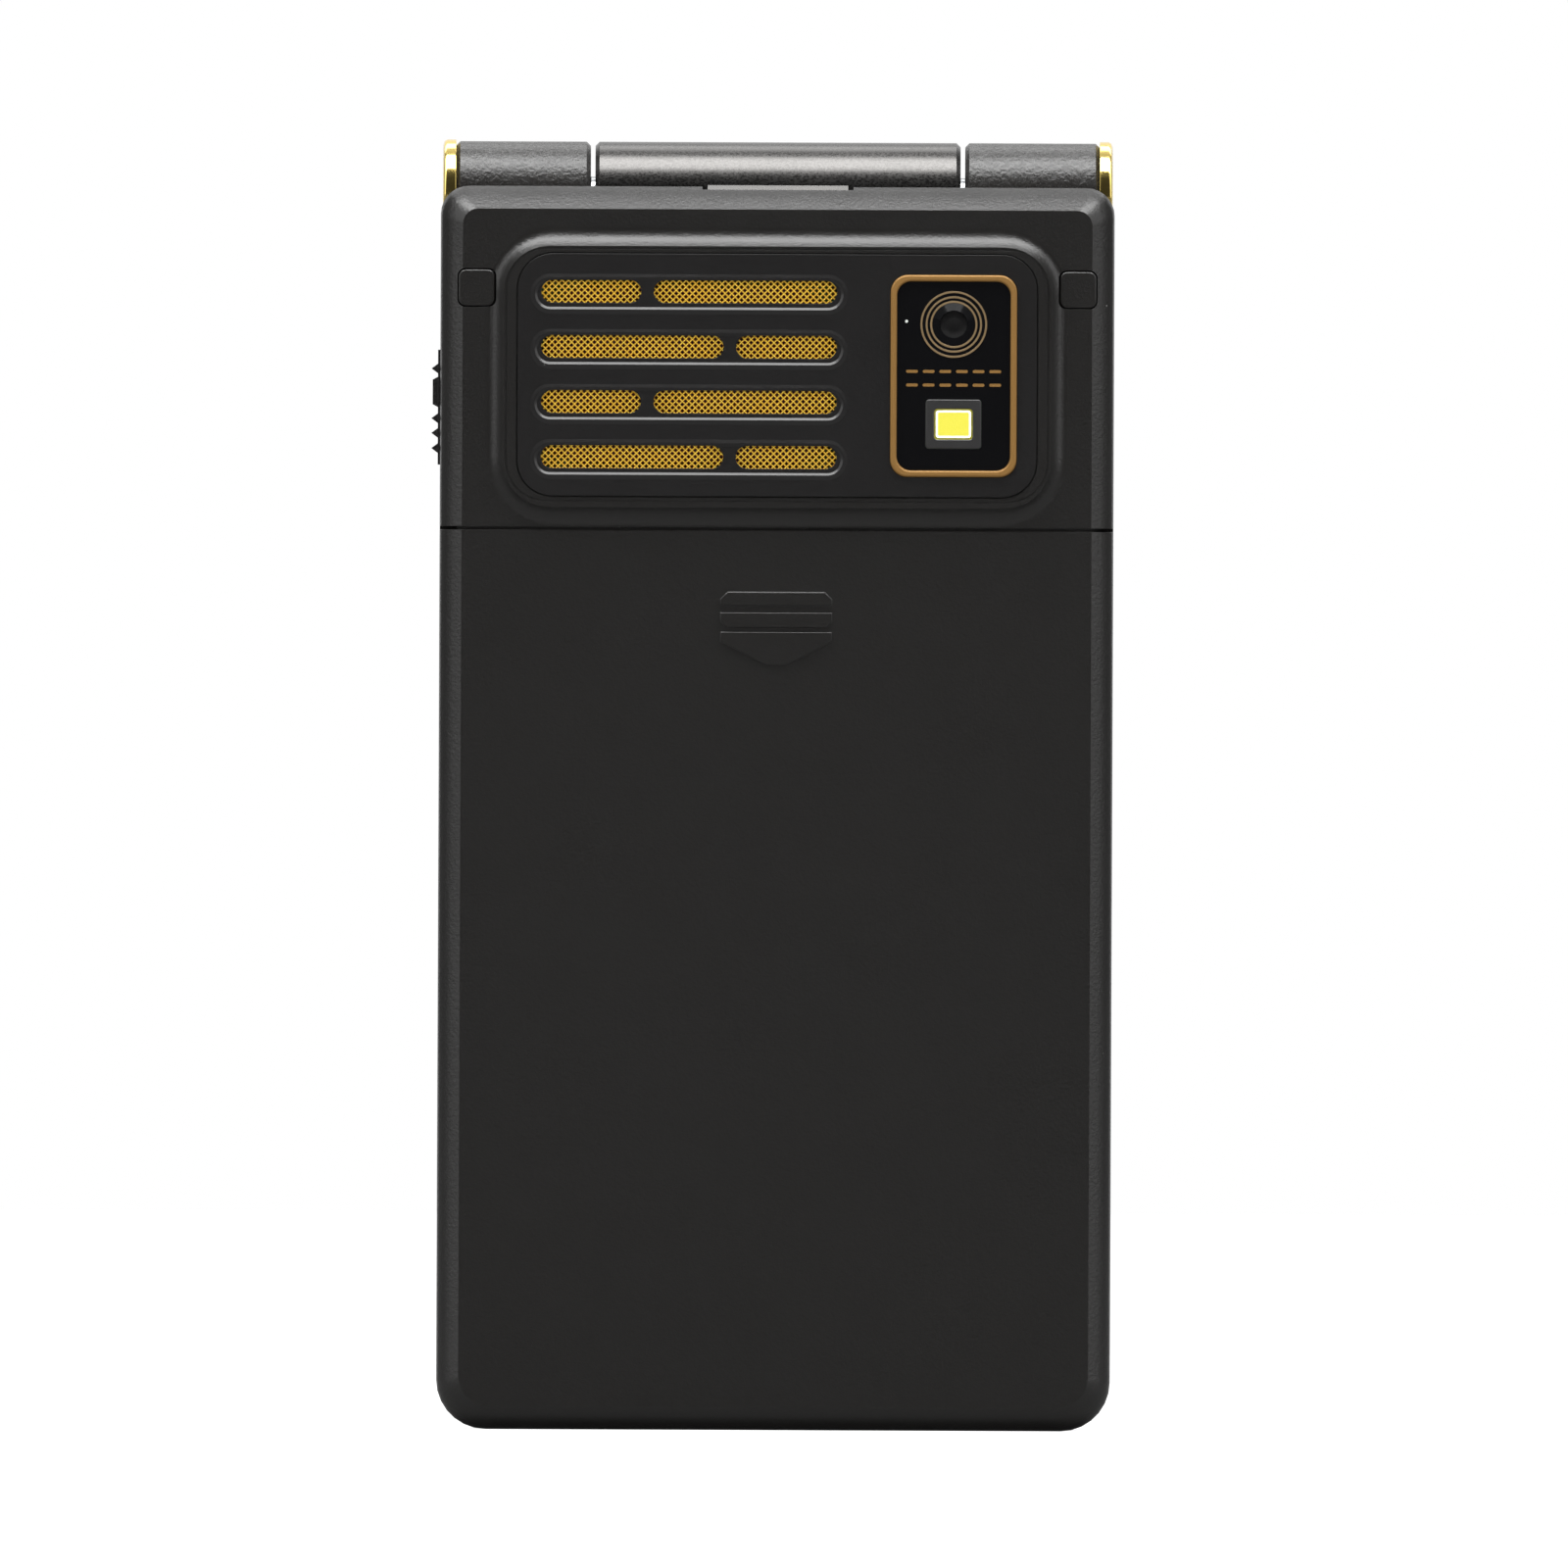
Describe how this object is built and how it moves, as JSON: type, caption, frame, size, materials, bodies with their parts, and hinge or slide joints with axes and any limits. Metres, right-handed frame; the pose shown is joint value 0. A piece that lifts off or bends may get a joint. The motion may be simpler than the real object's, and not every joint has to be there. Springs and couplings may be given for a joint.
{
  "type": "flip phone",
  "caption": "Black clamshell phone with large keys, gold side rails, a raised rear pod with sound slots and camera, and a sliding battery cover.",
  "frame": {"origin": "below the middle of the closed phone, on the surface that its bottom end stands on", "axes": "+X to the camera's side as seen from the rear, +Y from the rear face to the lid, +Z from the bottom end to the hinge"},
  "size_m": [0.0583, 0.0216, 0.1101],
  "materials": {
    "soft_black": "soft matte black moulding with a fine grain",
    "satin_black": "satin black moulding",
    "leather_black": "black, pebbled like leather",
    "graphite": "graphite paint with a soft sheen",
    "polished_gold": "polished gold plating",
    "old_gold": "matt gold print and trim",
    "gold_gauze": "fine woven gauze, yellow gold",
    "gloss_black": "gloss black window",
    "lens_glass": "dark coated lens and its black holder",
    "dark_window": "smoked flash window",
    "led_yellow": "yellow phosphor of the flash",
    "board_green": "green board with solder resist",
    "battery_grey": "grey battery wrap",
    "contact_gold": "gold-plated spring contacts in a black block",
    "steel": "plain sheet and turned steel",
    "dark_metal": "dark coated metal",
    "mat_rubber": "silicone mat",
    "bumper_rubber": "black rubber",
    "key_black": "black keys with pale figures",
    "call_green": "green call key",
    "end_red": "red end key"
  },
  "bodies": {
    "base": {"rear_housing": "soft_black", "keypad_housing": "satin_black", "hinge_barrel": "graphite", "speaker_panel": "soft_black", "speaker_mesh": "gold_gauze", "loudspeaker": "dark_metal", "camera_plate": "gloss_black", "camera_bezel": "old_gold", "lens_rings": "old_gold", "camera_module": "lens_glass", "flash_window": "dark_window", "flash_led": "led_yellow", "main_board": "board_green", "battery": "battery_grey", "battery_contacts": "contact_gold", "sim_holder": "steel", "usb_socket": "steel", "keypad_mat": "mat_rubber", "vibration_motor": "steel", "microphone": "steel", "housing_screws": "dark_metal", "screw_plugs": "soft_black", "hinge_can": "steel", "hinge_spring": "steel", "hinge_cam": "steel"},
    "lid": {"lid_cover": "leather_black", "lid_frame": "satin_black", "rail_left": "polished_gold", "rail_right": "polished_gold", "display_lens": "gloss_black", "display_module": "dark_metal", "earpiece": "dark_metal", "earpiece_mesh": "gold_gauze", "outer_lens": "gloss_black", "outer_display": "dark_metal", "lid_board": "board_green", "lid_bumpers": "bumper_rubber", "lid_screws": "dark_metal", "hinge_rotor": "steel", "pivot_bush": "steel"},
    "battery_cover": {"battery_cover": "soft_black"},
    "volume_key": {"volume_key": "satin_black"},
    "nav_ring": {"nav_ring": "polished_gold"},
    "ok_key": {"ok_key": "key_black"},
    "key_star": {"key_star": "key_black"},
    "key_0": {"key_0": "key_black"},
    "key_hash": {"key_hash": "key_black"},
    "key_7": {"key_7": "key_black"},
    "key_8": {"key_8": "key_black"},
    "key_9": {"key_9": "key_black"},
    "key_4": {"key_4": "key_black"},
    "key_5": {"key_5": "key_black"},
    "key_6": {"key_6": "key_black"},
    "key_1": {"key_1": "key_black"},
    "key_2": {"key_2": "key_black"},
    "key_3": {"key_3": "key_black"},
    "soft_left": {"soft_left": "key_black"},
    "soft_right": {"soft_right": "key_black"},
    "call_key": {"call_key": "call_green"},
    "end_key": {"end_key": "end_red"}
  },
  "joints": [
    {"name": "lid_hinge", "type": "hinge", "parent": "base", "child": "lid", "pos_m": [0, 0.00315, 0.1055], "axis": [1, 0, 0], "range_deg": [0, 160]},
    {"name": "cover_slide", "type": "slide", "parent": "base", "child": "battery_cover", "axis": [0, 0, -1], "range_m": [0, 0.0055]},
    {"name": "volume_rock", "type": "hinge", "parent": "base", "child": "volume_key", "pos_m": [-0.028, -0.0043, 0.0872], "axis": [0, 1, 0], "range_deg": [-2.5, 2.5], "stiffness_Nm_per_rad": 0.05},
    {"name": "nav_rock", "type": "hinge", "parent": "base", "child": "nav_ring", "pos_m": [0, 0.001, 0.076], "axis": [1, 0, 0], "range_deg": [-2, 2], "stiffness_Nm_per_rad": 0.05},
    {"name": "ok_key_press", "type": "slide", "parent": "base", "child": "ok_key", "axis": [0, -1, 0], "range_m": [0, 0.00035], "stiffness_N_per_m": 400},
    {"name": "key_star_press", "type": "slide", "parent": "base", "child": "key_star", "axis": [0, -1, 0], "range_m": [0, 0.00035], "stiffness_N_per_m": 400},
    {"name": "key_0_press", "type": "slide", "parent": "base", "child": "key_0", "axis": [0, -1, 0], "range_m": [0, 0.00035], "stiffness_N_per_m": 400},
    {"name": "key_hash_press", "type": "slide", "parent": "base", "child": "key_hash", "axis": [0, -1, 0], "range_m": [0, 0.00035], "stiffness_N_per_m": 400},
    {"name": "key_7_press", "type": "slide", "parent": "base", "child": "key_7", "axis": [0, -1, 0], "range_m": [0, 0.00035], "stiffness_N_per_m": 400},
    {"name": "key_8_press", "type": "slide", "parent": "base", "child": "key_8", "axis": [0, -1, 0], "range_m": [0, 0.00035], "stiffness_N_per_m": 400},
    {"name": "key_9_press", "type": "slide", "parent": "base", "child": "key_9", "axis": [0, -1, 0], "range_m": [0, 0.00035], "stiffness_N_per_m": 400},
    {"name": "key_4_press", "type": "slide", "parent": "base", "child": "key_4", "axis": [0, -1, 0], "range_m": [0, 0.00035], "stiffness_N_per_m": 400},
    {"name": "key_5_press", "type": "slide", "parent": "base", "child": "key_5", "axis": [0, -1, 0], "range_m": [0, 0.00035], "stiffness_N_per_m": 400},
    {"name": "key_6_press", "type": "slide", "parent": "base", "child": "key_6", "axis": [0, -1, 0], "range_m": [0, 0.00035], "stiffness_N_per_m": 400},
    {"name": "key_1_press", "type": "slide", "parent": "base", "child": "key_1", "axis": [0, -1, 0], "range_m": [0, 0.00035], "stiffness_N_per_m": 400},
    {"name": "key_2_press", "type": "slide", "parent": "base", "child": "key_2", "axis": [0, -1, 0], "range_m": [0, 0.00035], "stiffness_N_per_m": 400},
    {"name": "key_3_press", "type": "slide", "parent": "base", "child": "key_3", "axis": [0, -1, 0], "range_m": [0, 0.00035], "stiffness_N_per_m": 400},
    {"name": "soft_left_press", "type": "slide", "parent": "base", "child": "soft_left", "axis": [0, -1, 0], "range_m": [0, 0.00035], "stiffness_N_per_m": 400},
    {"name": "soft_right_press", "type": "slide", "parent": "base", "child": "soft_right", "axis": [0, -1, 0], "range_m": [0, 0.00035], "stiffness_N_per_m": 400},
    {"name": "call_key_press", "type": "slide", "parent": "base", "child": "call_key", "axis": [0, -1, 0], "range_m": [0, 0.00035], "stiffness_N_per_m": 400},
    {"name": "end_key_press", "type": "slide", "parent": "base", "child": "end_key", "axis": [0, -1, 0], "range_m": [0, 0.00035], "stiffness_N_per_m": 400}
  ]
}
